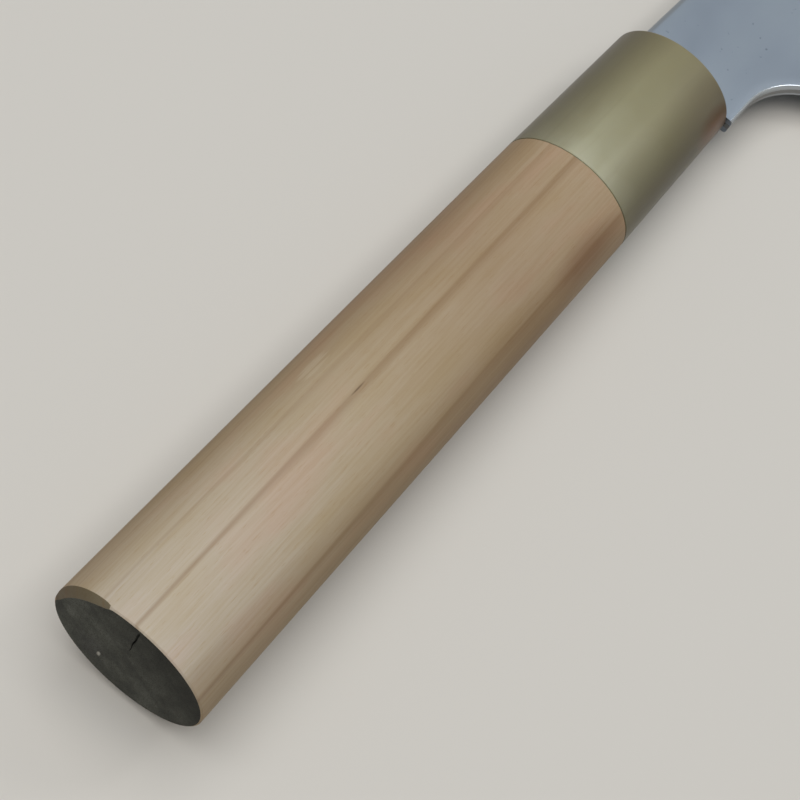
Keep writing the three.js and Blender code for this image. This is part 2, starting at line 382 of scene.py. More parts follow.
def spineY(x):
    startX, startY = blade["spineStart"]
    noseX = blade["tip"][0] - blade["noseLength"]
    noseY = startY - blade["spineFall"]
    if x < noseX:
        return startY - blade["spineFall"] * (x - startX) / (noseX - startX)
    return noseY - (noseY - blade["tip"][1]) * ((x - noseX) / blade["noseLength"]) ** 2


def edgePoint(t):
    heel, tip = Vector(blade["heel"]), Vector(blade["tip"])
    first = heel + Vector(blade["edgeFlat"])
    last = tip + Vector(blade["edgeSweep"])
    back = 1 - t
    return back ** 3 * heel + 3 * back ** 2 * t * first + 3 * back * t ** 2 * last + t ** 3 * tip


def spineThickness(x, edgeY):  # thinner towards the tip, and in the wedge where the blade is low
    share = (x - blade["heel"][0]) / (blade["tip"][0] - blade["heel"][0])
    taper = blade["heelThickness"] + (blade["tipThickness"] - blade["heelThickness"]) * share
    low = 1 - min(1, (spineY(x) - edgeY) / blade["wedgeHeight"])
    return taper * (1 - low * low)


def wedgeHalf(rise, height):  # half thickness at a height above the edge
    grind = 1 - (1 - rise / height) ** blade["grindPower"]
    return blade["behindEdge"] / 2 + (blade["heelThickness"] - blade["behindEdge"]) / 2 * grind


def spineRound(rise, height):  # share of the thickness left where the spine is rounded off
    into = 1 - (height - rise) / blade["spineEase"]
    return math.sqrt(1 - blade["spineRoundness"] * into * into) if into > 0 else 1


def heelSection():  # rises above the edge and half thicknesses of the wedge at the heel
    heelX, heelY = blade["heel"]
    height = spineY(heelX) - heelY
    first = choilEnd - heelY
    steps = blade["upperRows"]
    rises = [0, blade["microBevel"], *blade["lowRows"], first]
    rises += [first + (height - blade["spineEase"] - first) * step / steps for step in range(1, steps + 1)]
    rises += [height - blade["spineEase"] * part for part in blade["spineRows"]]
    rows = []
    for rise in rises:
        rows.append((rise, wedgeHalf(rise, height) * spineRound(rise, height)))
    rows[0] = (0, blade["edge"] / 2)
    return rows


def drawSection(name, rows):  # the closed outline, point after point, at the heel
    heelX, heelY = blade["heel"]
    outline = [(heelY + rise, half) for rise, half in rows]
    outline += [(heelY + rise, -half) for rise, half in reversed(rows)]
    clearSelection()
    bpy.ops.mesh.primitive_plane_add(size=mm, location=(0, 0, 0))
    piece = nameNew(name)
    bpy.ops.object.mode_set(mode="EDIT")
    bpy.ops.mesh.select_mode(type="VERT")
    bpy.ops.mesh.select_all(action="SELECT")
    bpy.ops.mesh.merge(type="CENTER")
    here = Vector((heelX, *outline[0]))
    bpy.ops.transform.translate(value=here * mm)
    for point in outline[1:]:
        there = Vector((heelX, *point))
        bpy.ops.mesh.extrude_vertices_move(TRANSFORM_OT_translate={"value": (there - here) * mm})
        here = there
    first, last = outline[0], outline[-1]
    pick("VERT", lambda p: near(p.y, first[0]) and (near(p.z, first[1]) or near(p.z, last[1])))
    bpy.ops.mesh.edge_face_add()
    return piece


def pullToTip():  # the section follows edge and spine, thinner towards the tip, and closes in a point
    bpy.ops.mesh.select_mode(type="EDGE")
    bpy.ops.mesh.select_all(action="SELECT")
    here = Vector(blade["heel"])
    for index in range(1, blade["edgeSteps"]):
        there = edgePoint(1 - (1 - index / blade["edgeSteps"]) ** blade["edgeCrowding"])
        heightRatio = (spineY(there.x) - there.y) / (spineY(here.x) - here.y)
        thicknessRatio = spineThickness(*there) / spineThickness(*here)
        step = (there.x - here.x, there.y - here.y, 0)
        growRing(step, (heightRatio, thicknessRatio), (there.x, there.y, 0))
        here = there
    tipX, tipY = blade["tip"]
    growRing((tipX - here.x, tipY - here.y, 0), (0, 0), (tipX, tipY, 0))


def pullNeck(rows):  # closes the heel's back, then pulls the ring above the choil's end back to the tang
    heelX, heelY = blade["heel"]
    ease = blade["spineEase"]
    low = [row for row in rows if heelY + row[0] < choilEnd + 0.01]
    for (rise, _), (nextRise, _) in zip(low, low[1:]):
        pair = (heelY + rise, heelY + nextRise)
        pick("VERT", lambda p: near(p.x, heelX) and any(near(p.y, y) for y in pair))
        bpy.ops.mesh.edge_face_add()
    pick("EDGE", lambda p: near(p.x, heelX) and p.y > choilEnd - 0.01)
    upper = [row for row in rows if heelY + row[0] > choilEnd - 0.01]
    height = spineY(heelX) - heelY
    halves = [half for _, half in upper]
    depths = [height - rise for rise, _ in upper]
    rounds = [spineRound(rise, height) for rise, _ in upper]
    stations = []
    for step in range(1, blade["choilSteps"] + 1):
        turn = math.pi / 2 * (1 - step / blade["choilSteps"])
        stations.append((blade["choilStart"] + blade["choilRadius"] * math.sin(turn),
                         choilEnd + blade["choilRadius"] * math.cos(turn)))
    stations.append(((blade["choilStart"] + blade["spineStart"][0]) / 2, blade["neckBottom"]))
    stations.append((blade["spineStart"][0], blade["neckBottom"]))
    x, bottom = heelX, choilEnd
    for nextX, nextBottom in stations:
        growRing((nextX - x, spineY(nextX) - spineY(x), 0), (1, 1), (nextX, spineY(nextX), 0))
        squeeze = (spineY(nextX) - ease - nextBottom) / (spineY(x) - ease - bottom)
        x, bottom = nextX, nextBottom
        eased = spineY(x) - ease  # the spine's rounding keeps its size, and the rows below it close up
        pick("VERT", lambda p: near(p.x, x) and p.y < eased + 0.01)
        bpy.ops.transform.resize(value=(1, squeeze, 1), center_override=(x * mm, eased * mm, 0))
        share = min(1, (heelX - x) / blade["choilRadius"])
        full = share * share * (3 - 2 * share)
        taper = spineThickness(x, heelY) / blade["heelThickness"]  # the blade's own taper runs on
        for index, depth in enumerate(depths):  # each row fills out to the neck's full thickness
            if depth > ease:
                depth = ease + (depth - ease) / (depths[0] - ease) * (eased - bottom)
            rowY = spineY(x) - depth
            wedge = wedgeHalf(min(rowY - heelY, height), height) * taper
            target = (wedge * (1 - full) + blade["neckThickness"] / 2 * full) * rounds[index]
            pick("VERT", lambda p: near(p.x, x) and near(p.y, rowY))
            fuller = target / halves[index]
            bpy.ops.transform.resize(value=(1, 1, fuller), center_override=(x * mm, rowY * mm, 0))
            halves[index] = target
        pick("EDGE", lambda p: near(p.x, x))
    return x, bottom


def pullTang(x, bottom):  # a square shoulder at the ferrule, then the tapered tang inside the handle
    top = spineY(x)
    tang, tangEnd = blade["tang"], blade["tangEnd"]
    shoulder = (tang[0] / (top - bottom), tang[1] / blade["neckThickness"])
    growRing((0, -(top + bottom) / 2, 0), shoulder, (x, 0, 0))
    taper = (tangEnd[0] / tang[0], tangEnd[1] / tang[1])
    growRing((-blade["tangLength"] - x, 0, 0), taper, (-blade["tangLength"], 0, 0))
    bpy.ops.mesh.edge_face_add()


def easeChoil():  # the polished rounding along the neck's underside and the choil

    def onChoil(p):
        if p.x < blade["spineStart"][0] - 0.01 or p.x > blade["heel"][0] + 0.01 or abs(p.z) < 0.3:
            return False
        if p.x < blade["choilStart"] + 0.01:
            return near(p.y, blade["neckBottom"])
        return near(math.hypot(p.x - blade["choilStart"], p.y - choilEnd), blade["choilRadius"], 0.02)

    pick("EDGE", onChoil)
    shape = bmesh.from_edit_mesh(bpy.context.edit_object.data)
    for edge in shape.edges:  # only the two long corners, not the rungs between them
        if edge.select and edge.verts[0].co.z * edge.verts[1].co.z < 0:
            edge.select_set(False)
    bmesh.update_edit_mesh(bpy.context.edit_object.data)
    bpy.ops.mesh.bevel(offset=blade["choilEase"] * mm, segments=blade["choilEaseSteps"], profile=0.5)


def isChoilFace(p):  # the rounding under the neck and round the choil, and the strip between
    reach = blade["choilEase"] + 0.05
    if p.x < blade["choilStart"]:
        return p.x > blade["spineStart"][0] - 0.01 and p.y < blade["neckBottom"] + reach
    away = math.hypot(p.x - blade["choilStart"], p.y - choilEnd)
    return p.y > choilEnd - 0.01 and away < blade["choilRadius"] + reach


def makeBlade():
    rows = heelSection()
    piece = drawSection("blade_forging", rows)
    pullToTip()
    x, bottom = pullNeck(rows)
    pullTang(x, bottom)
    easeChoil()
    closeShape()
    return piece


# Lamination: the forging is split by two slightly wavy sheets into a hard core and two claddings

layers = {
    "coreAtTang": 1.1,
    "coreAtTip": 0.66,
    "wave": 0.1,        # height of the weld's waves
    "waveLength": 14.0,
    "weldLine": 0.03,
    "sheet": (-16.0, 60.0, 6.0),  # its middle and its height, and how far the room goes out from it
    "overhang": 8.0,    # past tip and tang together
    "cells": (240, 36),
    "smoothAngle": 30,
}


def addLayerRoom(name, side, offset):  # all that lies outside one weld
    level, height, reach = layers["sheet"]
    length = blade["tip"][0] + blade["tangLength"] + layers["overhang"]
    middle = (blade["tip"][0] - blade["tangLength"]) / 2
    half = (layers["coreAtTang"] + layers["coreAtTip"]) / 4 + offset
    slope = (layers["coreAtTang"] - layers["coreAtTip"]) / 2 / length
    clearSelection()
    bpy.ops.mesh.primitive_grid_add(
        x_subdivisions=layers["cells"][0], y_subdivisions=layers["cells"][1], size=1,
        location=(middle * mm, level * mm, half * side * mm), rotation=(0, slope * side, 0))
    room = nameNew(name, (length * mm, height * mm, 1))
    noise = bpy.data.textures.new("weld waves", "CLOUDS")
    noise.noise_scale = layers["waveLength"] * mm
    wave = room.modifiers.new("wave", "DISPLACE")
    wave.texture = noise
    wave.texture_coords = "LOCAL"
    wave.direction = "Z"
    wave.strength = layers["wave"] * mm
    bpy.ops.object.modifier_apply(modifier=wave.name)
    bpy.ops.object.mode_set(mode="EDIT")
    bpy.ops.mesh.select_all(action="SELECT")
    bpy.ops.mesh.extrude_region_move(TRANSFORM_OT_translate={"value": (0, 0, reach * side * mm)})
    closeShape()
    return room


def copyShape(piece, name):
    copy = piece.copy()
    copy.data = piece.data.copy()
    copy.name = name
    copy.data.name = name
    bpy.context.scene.collection.objects.link(copy)
    return copy


def makeLayers(forging):
    pieces = {}
    core = copyShape(forging, "core_steel")
    for name, side in (("cladding_steel_right", 1), ("cladding_steel_left", -1)):
        room = addLayerRoom("layer_room", side, layers["weldLine"] / 2)
        cladding = copyShape(forging, name)
        cutWith(cladding, room, "INTERSECT")
        room = addLayerRoom("layer_room", side, -layers["weldLine"] / 2)
        cutWith(core, room, "DIFFERENCE")
        pieces[name] = cladding
    pieces["core_steel"] = core
    bpy.data.objects.remove(forging)
    for piece in pieces.values():
        cleanShape(piece)
        smoothFaces(piece, layers["smoothAngle"])
    return pieces


# Materials

def linear(hexColour):  # an sRGB hex value as linear light
    parts = [int(hexColour[i:i + 2], 16) / 255 for i in (1, 3, 5)]
    return [p / 12.92 if p <= 0.04045 else ((p + 0.055) / 1.055) ** 2.4 for p in parts] + [1]


def newMaterial(name):
    mat = bpy.data.materials.new(name)
    mat.use_nodes = True
    mat.node_tree.nodes.clear()
    return mat


# gives the new node's output; sockets go by name, or by number where names repeat
def addNode(mat, kind, inputs=None, stops=None, out=0, **settings):
    node = mat.node_tree.nodes.new(kind)
    for name, value in settings.items():
        setattr(node, name, value)
    for name, value in (inputs or {}).items():
        if isinstance(value, bpy.types.NodeSocket):
            mat.node_tree.links.new(value, node.inputs[name])
        else:
            node.inputs[name].default_value = value
    if stops:
        elements = node.color_ramp.elements
        while len(elements) < len(stops):
            elements.new(0.5)
        for element, (place, colour) in zip(elements, stops):
            element.position = place
            element.color = linear(colour)
    return node.outputs[out]


def knifePoint(mat):  # where a point is along the knife's own axes, in mm
    where = addNode(mat, "ShaderNodeTexCoord", out="Object")
    return addNode(mat, "ShaderNodeMapping", {
        "Vector": where, "Location": knifeFrame.translation, "Rotation": knifeFrame.to_euler(),
        "Scale": (mm, mm, mm)}, vector_type="TEXTURE")


def spotShare(mat, point, centre, size):  # 1 in the middle of an egg-shaped spot, 0 from its rim on
    local = addNode(mat, "ShaderNodeMapping", {"Vector": point, "Location": centre, "Scale": size},
                    vector_type="TEXTURE")
    return addNode(mat, "ShaderNodeTexGradient", {"Vector": local}, gradient_type="SPHERICAL")


def sideShade(mat, point, low, high, tone):  # white on the broad faces, down to a tone on the narrow sides
    y = addNode(mat, "ShaderNodeSeparateXYZ", {"Vector": point}, out=1)
    toSide = addNode(mat, "ShaderNodeMath", {0: y}, operation="ABSOLUTE")
    share = addNode(mat, "ShaderNodeMapRange", {"Value": toSide, "From Min": low, "From Max": high})
    return addNode(mat, "ShaderNodeValToRGB", {"Fac": share}, [(0, "#ffffff"), (1, tone)])


def finishMaterial(mat, height, depth, sockets):  # relief of that depth in mm, and the shader's settings
    relief = addNode(mat, "ShaderNodeBump", {"Height": height, "Distance": depth * mm})
    shader = addNode(mat, "ShaderNodeBsdfPrincipled", {**sockets, "Normal": relief})
    output = mat.node_tree.nodes.new("ShaderNodeOutputMaterial")
    mat.node_tree.links.new(shader, output.inputs["Surface"])
    return mat


def dress(piece, *materials):
    piece.data.materials.clear()
    for mat in materials:
        piece.data.materials.append(mat)


def dressFaces(piece, index, isItsFace):  # gives some faces another of the materials that the piece has
    choose(piece)
    bpy.ops.object.mode_set(mode="EDIT")
    pick("FACE", isItsFace)
    piece.active_material_index = index
    bpy.ops.object.material_slot_assign()
    bpy.ops.object.mode_set(mode="OBJECT")


magnolia = {  # places in mm along the knife's own axes
    # from the butt to the ferrule; the paler, greyer butt end is partly painted sheen and the darker
    # ferrule end partly painted fall-off of the light, the rest is the wood's own tone
    "scraped": ((-142.0, "#bcb3a6"), (-95.0, "#ad9e86"), (-60.0, "#a18e75"), (-34.0, "#a8957b")),
    "bevel": ((-142.0, "#6a624e"), (-140.0, "#6f6753")),  # grey from the hand and the end grain showing in the cut, darkened further with painted shade
    "lateWood": "#7a5a30",
    "growthLines": (  # slope through the handle, place, width in mm on the sharp side, depth
        ((-0.0113, 0.588, -0.809), -5.92, 0.33, 0.44),  # the brown line along the right face
        ((-0.0014, 0.588, -0.809), -2.75, 0.4, 0.2),    # a softer one towards the spine
        ((-0.0173, 1.0, 0.0), -8.45, 0.4, 0.36),        # low on the edge side
        ((-0.003, 0.588, -0.809), 2.4, 0.2, 0.2),
        ((-0.003, 0.588, -0.809), 5.2, 0.25, 0.35),
        ((-0.003, 0.588, -0.809), 8.3, 0.23, 0.4),
        ((-0.003, 0.588, -0.809), -11.0, 0.4, 0.35),    # a broad one, cut along its length
    ),
    # a year's wood darkens slowly and its line ends sharply towards the spine, less so at the butt
    "shadesOff": ((-132.0, -0.85), (-105.0, -0.33)),
    "sway": 0.45,                       # of a line, in its widths
    # spots: centre, size, colour, cover at the middle
    "stain": ((-45.0, -9.5, 5.6), (11.0, 3.6, 4.8), "#6e3d0e", "#b0b0b0"),
    "fleck": ((-92.7, 1.62, 9.78), (1.9, 0.17, 1.0), "#553a1f", "#e0e0e0"),
    # painted highlight on the spine side, where the light streaks along fine scratches
    "paintedHighlight": ((-93.0, 8.7, 7.2), (8.0, 3.2, 3.2), "#e6dcc8", "#606060"),
    "shadedSides": (7.0, 12.6, "#c9b89b"),  # painted shade: the narrow sides darker, for the light falling off round the handle
}


def makeMagnolia(name, finish):
    # ho wood, scraped smooth and left bare: pale beige and matt with a silky sheen, a few growth lines
    # that run through the whole piece, hair-fine fibres and short open pores
    mat = newMaterial(name)
    point = knifePoint(mat)
    x = addNode(mat, "ShaderNodeSeparateXYZ", {"Vector": point})
    butt, joint = -handle["length"], -handle["ferrule"]
    share = addNode(mat, "ShaderNodeMapRange", {"Value": x, "From Min": butt, "From Max": joint})
    colour = addNode(mat, "ShaderNodeValToRGB", {"Fac": share},
                     [((place - butt) / (joint - butt), tone) for place, tone in magnolia[finish]])
    slow = addNode(mat, "ShaderNodeMapping", {"Vector": point, "Scale": (0.016, 0.09, 0.09)})
    sway = addNode(mat, "ShaderNodeTexNoise", {"Vector": slow, "Scale": 1.0, "Detail": 2.0},
                   normalize=False)
    fromButt, toFerrule = magnolia["shadesOff"]
    shading = addNode(mat, "ShaderNodeMapRange", {
        "Value": x, "From Min": fromButt[0], "From Max": toFerrule[0],
        "To Min": fromButt[1], "To Max": toFerrule[1]})
    for across, place, width, depth in magnolia["growthLines"]:
        level = addNode(mat, "ShaderNodeVectorMath", {0: point, 1: across}, out=1, operation="DOT_PRODUCT")
        swayed = addNode(mat, "ShaderNodeMath", {0: sway, 1: magnolia["sway"] * width, 2: level},
                         operation="MULTIPLY_ADD")
        away = addNode(mat, "ShaderNodeMath", {0: swayed, 1: place}, operation="SUBTRACT")
        slowly = addNode(mat, "ShaderNodeMath", {0: away, 1: shading}, operation="MULTIPLY")
        off = addNode(mat, "ShaderNodeMath", {0: away, 1: slowly}, operation="MAXIMUM")
        share = addNode(mat, "ShaderNodeMapRange", {
            "Value": off, "From Min": 0.0, "From Max": width, "To Min": depth, "To Max": 0.0},
            interpolation_type="SMOOTHSTEP")
        colour = addNode(mat, "ShaderNodeMix", {
            "Factor": share, 6: colour, 7: linear(magnolia["lateWood"])}, out=2, data_type="RGBA")
    for spot in ("stain", "fleck"):
        centre, size, spotColour, cover = magnolia[spot]
        within = spotShare(mat, point, centre, size)
        share = addNode(mat, "ShaderNodeValToRGB", {"Fac": within}, [(0, "#000000"), (0.7, cover)])
        colour = addNode(mat, "ShaderNodeMix", {"Factor": share, 6: colour, 7: linear(spotColour)},
                         out=2, data_type="RGBA")
    # soft pink and yellow clouds, fibres 0.4 mm wide and 16 mm long, pores 0.15 by 2 mm,
    # and painted shade that darkens the narrow sides
    clouds = addNode(mat, "ShaderNodeMapping", {"Vector": point, "Scale": (0.05, 0.16, 0.16)})
    cloud = addNode(mat, "ShaderNodeTexNoise", {"Vector": clouds, "Scale": 1.0, "Detail": 3.0})
    tint = addNode(mat, "ShaderNodeValToRGB", {"Fac": cloud},
                   [(0.3, "#f5efdf"), (0.5, "#fbf8f2"), (0.7, "#fff3ee")])
    along = addNode(mat, "ShaderNodeMapping", {"Vector": point, "Scale": (0.06, 2.5, 2.5)})
    fibre = addNode(mat, "ShaderNodeTexNoise", {
        "Vector": along, "Scale": 1.0, "Detail": 4.0, "Roughness": 0.6})
    shade = addNode(mat, "ShaderNodeValToRGB", {"Fac": fibre}, [(0.3, "#f6f1e8"), (0.62, "#ffffff")])
    short = addNode(mat, "ShaderNodeMapping", {"Vector": point, "Scale": (0.5, 6.5, 6.5)})
    pore = addNode(mat, "ShaderNodeTexNoise", {"Vector": short, "Scale": 1.0, "Detail": 1.0})
    pores = addNode(mat, "ShaderNodeValToRGB", {"Fac": pore}, [(0.26, "#f7f0e4"), (0.36, "#ffffff")])
    # painted shade on the narrow sides
    shadedSides = sideShade(mat, point, *magnolia["shadedSides"])
    for layer in (tint, shade, pores, shadedSides):
        colour = addNode(mat, "ShaderNodeMix", {"Factor": 1.0, 6: colour, 7: layer},
                         out=2, data_type="RGBA", blend_type="MULTIPLY")
    # painted highlight: a few pale dashes on the spine side, for the light's streak along fine scratches
    # there
    centre, size, highlightColour, cover = magnolia["paintedHighlight"]
    within = spotShare(mat, point, centre, size)
    dashes = addNode(mat, "ShaderNodeMapping", {"Vector": point, "Scale": (0.06, 3.2, 3.2)})
    dash = addNode(mat, "ShaderNodeTexNoise", {"Vector": dashes, "Scale": 1.0, "Detail": 0.0})
    paintedHighlight = addNode(mat, "ShaderNodeMath", {0: within, 1: dash}, operation="MULTIPLY")
    shine = addNode(mat, "ShaderNodeValToRGB", {"Fac": paintedHighlight}, [(0.3, "#000000"), (0.4, cover)])
    colour = addNode(mat, "ShaderNodeMix", {"Factor": shine, 6: colour, 7: linear(highlightColour)},
                     out=2, data_type="RGBA")
    rough = addNode(mat, "ShaderNodeMapRange", {"Value": fibre, "To Min": 0.62, "To Max": 0.46})
    relief = addNode(mat, "ShaderNodeMath", {0: pore, 1: 0.5, 2: fibre}, operation="MULTIPLY_ADD")
    return finishMaterial(mat, relief, 0.012, {
        "Base Color": colour, "Roughness": rough, "Specular IOR Level": 0.5, "IOR": 1.5})


endGrain = {
    # end grain tones, darkened with painted shade for the butt turned away from the light
    "colour": "#4a4b44",
    "dark": "#373833",
    "pale": "#5b5c55",
    "across": (0.0, 0.588, -0.809),  # through the growth lines, towards the spine and the left face
    "lines": (3.6, 0.6, 0.45),       # half their spacing in mm, width, depth
    # spots: centre, size, colour, cover at the middle
    "blotch": ((-142.0, 5.3, -4.9), (4.0, 3.0, 4.2), "#2c2b2e", "#a0a0a0"),
    "speck": ((-142.0, 3.85, -5.05), (1.0, 0.36, 0.8), "#b4b1a8", "#ffffff"),
    "edgewardDarkening": (4.0, -9.0, "#9a9993"),  # darker towards the edge and the right face
}


def makeEndGrain():
    # sawn end of the ho wood, dark grey as end grain is and darker still with painted shade, as the butt
    # faces
    # away from the light: matt and mottled, with pores on end, growth lines across and one pale speck
    mat = newMaterial("ho_wood_sawn_end_grain")
    point = knifePoint(mat)
    clouds = addNode(mat, "ShaderNodeMapping", {"Vector": point, "Scale": (0.3, 0.32, 0.32)})
    cloud = addNode(mat, "ShaderNodeTexNoise", {
        "Vector": clouds, "Scale": 1.0, "Detail": 5.0, "Roughness": 0.6})
    colour = addNode(mat, "ShaderNodeValToRGB", {"Fac": cloud}, [
        (0.3, endGrain["dark"]), (0.5, endGrain["colour"]), (0.7, endGrain["pale"])])
    depth = addNode(mat, "ShaderNodeVectorMath", {0: point, 1: endGrain["across"]}, out=1,
                    operation="DOT_PRODUCT")
    spacing, width, strength = endGrain["lines"]
    turn = addNode(mat, "ShaderNodeMath", {0: depth, 1: spacing}, operation="PINGPONG")
    late = addNode(mat, "ShaderNodeMapRange", {
        "Value": turn, "From Min": 0.0, "From Max": width, "To Min": strength, "To Max": 0.0})
    colour = addNode(mat, "ShaderNodeMix", {"Factor": late, 6: colour, 7: linear(endGrain["dark"])},
                     out=2, data_type="RGBA")
    for spot in ("blotch", "speck"):
        centre, size, spotColour, cover = endGrain[spot]
        within = spotShare(mat, point, centre, size)
        inShare = addNode(mat, "ShaderNodeValToRGB", {"Fac": within}, [(0, "#000000"), (0.6, cover)])
        colour = addNode(mat, "ShaderNodeMix", {"Factor": inShare, 6: colour, 7: linear(spotColour)},
                         out=2, data_type="RGBA")
    # darker towards the edge and the right face
    darkeningFrom, darkeningTo, edgewardTone = endGrain["edgewardDarkening"]
    edgewardShare = addNode(mat, "ShaderNodeMapRange", {"Value": depth, "From Min": darkeningFrom, "From Max": darkeningTo})
    edgewardDarkening = addNode(mat, "ShaderNodeValToRGB", {"Fac": edgewardShare}, [(0, "#ffffff"), (1, edgewardTone)])
    colour = addNode(mat, "ShaderNodeMix", {"Factor": 1.0, 6: colour, 7: edgewardDarkening},
                     out=2, data_type="RGBA", blend_type="MULTIPLY")
    # pores 0.25 mm across, saw marks 0.8 mm apart
    pore = addNode(mat, "ShaderNodeTexNoise", {"Vector": point, "Scale": 4.0, "Detail": 2.0})
    shade = addNode(mat, "ShaderNodeValToRGB", {"Fac": pore}, [(0.35, "#c8c4ba"), (0.55, "#ffffff")])
    colour = addNode(mat, "ShaderNodeMix", {"Factor": 1.0, 6: colour, 7: shade},
                     out=2, data_type="RGBA", blend_type="MULTIPLY")
    saw = addNode(mat, "ShaderNodeTexWave", {
        "Vector": point, "Scale": 0.39, "Distortion": 1.5, "Detail": 2.0}, out=1, bands_direction="Y")
    relief = addNode(mat, "ShaderNodeMath", {0: saw, 1: 0.5, 2: pore}, operation="MULTIPLY_ADD")
    return finishMaterial(mat, relief, 0.05, {
        "Base Color": colour, "Roughness": 0.8, "Specular IOR Level": 0.3, "IOR": 1.5})


blondHorn = {
    "along": ((-34.0, "#aaa88e"), (-29.0, "#9b987b"), (-18.0, "#8b8665"), (-6.0, "#847e5c"),
              (0.0, "#807957")),  # from the joint, where it is palest, to the mouth
    "drift": 4.0,  # mm that the clouds move it along
    "streak": "#6e6340",
    # spots: centre, size, colour, cover at the middle
    "bloom": ((-4.0, -6.8, 6.6), (13.0, 7.5, 7.0), "#625648", "#9a9a9a"),
    "stain": ((-4.2, -10.9, 2.9), (7.0, 3.3, 4.8), "#553305", "#ffffff"),
    "sides": (2.6, 11.2, "#7c7358"),  # painted shade: the narrow sides darker, for the light falling off round the ferrule
}


def makeHorn():
    # blond buffalo horn, filed and polished: translucent greenish straw with a waxy gloss, cloudy inside,
    # with faint brown layers along it
    mat = newMaterial("blond_horn_polished")
    point = knifePoint(mat)
    x = addNode(mat, "ShaderNodeSeparateXYZ", {"Vector": point})
    drift = addNode(mat, "ShaderNodeMapping", {"Vector": point, "Scale": (0.06, 0.12, 0.12)})
    cloud = addNode(mat, "ShaderNodeTexNoise", {"Vector": drift, "Scale": 1.0, "Detail": 3.0},
                    normalize=False)
    moved = addNode(mat, "ShaderNodeMath", {0: cloud, 1: blondHorn["drift"], 2: x},
                    operation="MULTIPLY_ADD")
    length = handle["ferrule"]
    share = addNode(mat, "ShaderNodeMapRange", {"Value": moved, "From Min": -length, "From Max": 0.0})
    colour = addNode(mat, "ShaderNodeValToRGB", {"Fac": share},
                     [((place + length) / length, tone) for place, tone in blondHorn["along"]])
    layering = addNode(mat, "ShaderNodeMapping", {"Vector": point, "Scale": (0.025, 0.45, 0.3)})
    layer = addNode(mat, "ShaderNodeTexNoise", {
        "Vector": layering, "Scale": 1.0, "Detail": 4.0, "Distortion": 0.6})
    share = addNode(mat, "ShaderNodeValToRGB", {"Fac": layer}, [(0.52, "#000000"), (0.75, "#828282")])
    colour = addNode(mat, "ShaderNodeMix", {"Factor": share, 6: colour, 7: linear(blondHorn["streak"])},
                     out=2, data_type="RGBA")
    # painted shade on the narrow sides
    hornSideShade = sideShade(mat, point, *blondHorn["sides"])
    colour = addNode(mat, "ShaderNodeMix", {"Factor": 1.0, 6: colour, 7: hornSideShade},
                     out=2, data_type="RGBA", blend_type="MULTIPLY")
    uneven = addNode(mat, "ShaderNodeMath", {0: layer, 1: 0.5}, operation="ADD")
    for spot in ("bloom", "stain"):
        centre, size, spotColour, cover = blondHorn[spot]
        within = spotShare(mat, point, centre, size)
        ragged = addNode(mat, "ShaderNodeMath", {0: within, 1: uneven}, operation="MULTIPLY")
        inShare = addNode(mat, "ShaderNodeValToRGB", {"Fac": ragged}, [(0, "#000000"), (0.65, cover)])
        colour = addNode(mat, "ShaderNodeMix", {"Factor": inShare, 6: colour, 7: linear(spotColour)},
                         out=2, data_type="RGBA")
    # polishing hairlines 0.12 mm wide
    fine = addNode(mat, "ShaderNodeMapping", {"Vector": point, "Scale": (0.3, 8.0, 8.0)})
    hair = addNode(mat, "ShaderNodeTexNoise", {"Vector": fine, "Scale": 1.0, "Detail": 3.0})
    rough = addNode(mat, "ShaderNodeMapRange", {"Value": hair, "To Min": 0.26, "To Max": 0.46})
    return finishMaterial(mat, hair, 0.006, {
        "Base Color": colour, "Roughness": rough, "IOR": 1.55, "Subsurface Weight": 0.3,
        "Subsurface Radius": (1.0, 0.8, 0.45), "Subsurface Scale": 2.5 * mm})


steel = {  # tones, roughness from and to, depth of the relief in mm
    "cladding": (("#8a929d", "#9098a3", "#949ca6"), (0.28, 0.36), 0.0025),
    "core": (("#808385", "#868889", "#8b8d8e"), (0.14, 0.24), 0.0015),
    "choil": (("#a9b0b8", "#b0b6bd", "#b6bcc2"), (0.1, 0.18), 0.001),
}


def makeSteel(name, kind):
    # cladding: soft stainless, ground and satin polished along the blade, so reflections smear and cloud;
    # core: hard steel, stone polished, darker and clearer than what wraps it;
    # choil: the same cladding, rounded and buffed for the finger, so a bright line runs along it
    tones, roughness, depth = steel[kind]
    mat = newMaterial(name)
    point = knifePoint(mat)
    clouds = addNode(mat, "ShaderNodeMapping", {"Vector": point, "Scale": (0.045, 0.1, 0.1)})
    cloud = addNode(mat, "ShaderNodeTexNoise", {"Vector": clouds, "Scale": 1.0, "Detail": 2.0})
    colour = addNode(mat, "ShaderNodeValToRGB", {"Fac": cloud},
                     [(0.3, tones[0]), (0.5, tones[1]), (0.68, tones[2])])
    # a few pits 0.4 mm across, grinding lines 0.15 mm apart
    pit = addNode(mat, "ShaderNodeTexNoise", {"Vector": point, "Scale": 0.9, "Detail": 1.0})
    pits = addNode(mat, "ShaderNodeValToRGB", {"Fac": pit}, [(0.2, "#d0d2d4"), (0.27, "#ffffff")])
    colour = addNode(mat, "ShaderNodeMix", {"Factor": 1.0, 6: colour, 7: pits},
                     out=2, data_type="RGBA", blend_type="MULTIPLY")
    along = addNode(mat, "ShaderNodeMapping", {"Vector": point, "Scale": (0.035, 6.5, 6.5)})
    line = addNode(mat, "ShaderNodeTexNoise", {
        "Vector": along, "Scale": 1.0, "Detail": 4.0, "Roughness": 0.65})
    both = addNode(mat, "ShaderNodeMath", {0: cloud, 1: 0.1, 2: line}, operation="MULTIPLY_ADD")
    rough = addNode(mat, "ShaderNodeMapRange", {
        "Value": both, "From Min": 0.35, "From Max": 0.75, "To Min": roughness[0], "To Max": roughness[1]})
    return finishMaterial(mat, line, depth, {"Base Color": colour, "Roughness": rough, "Metallic": 1.0})


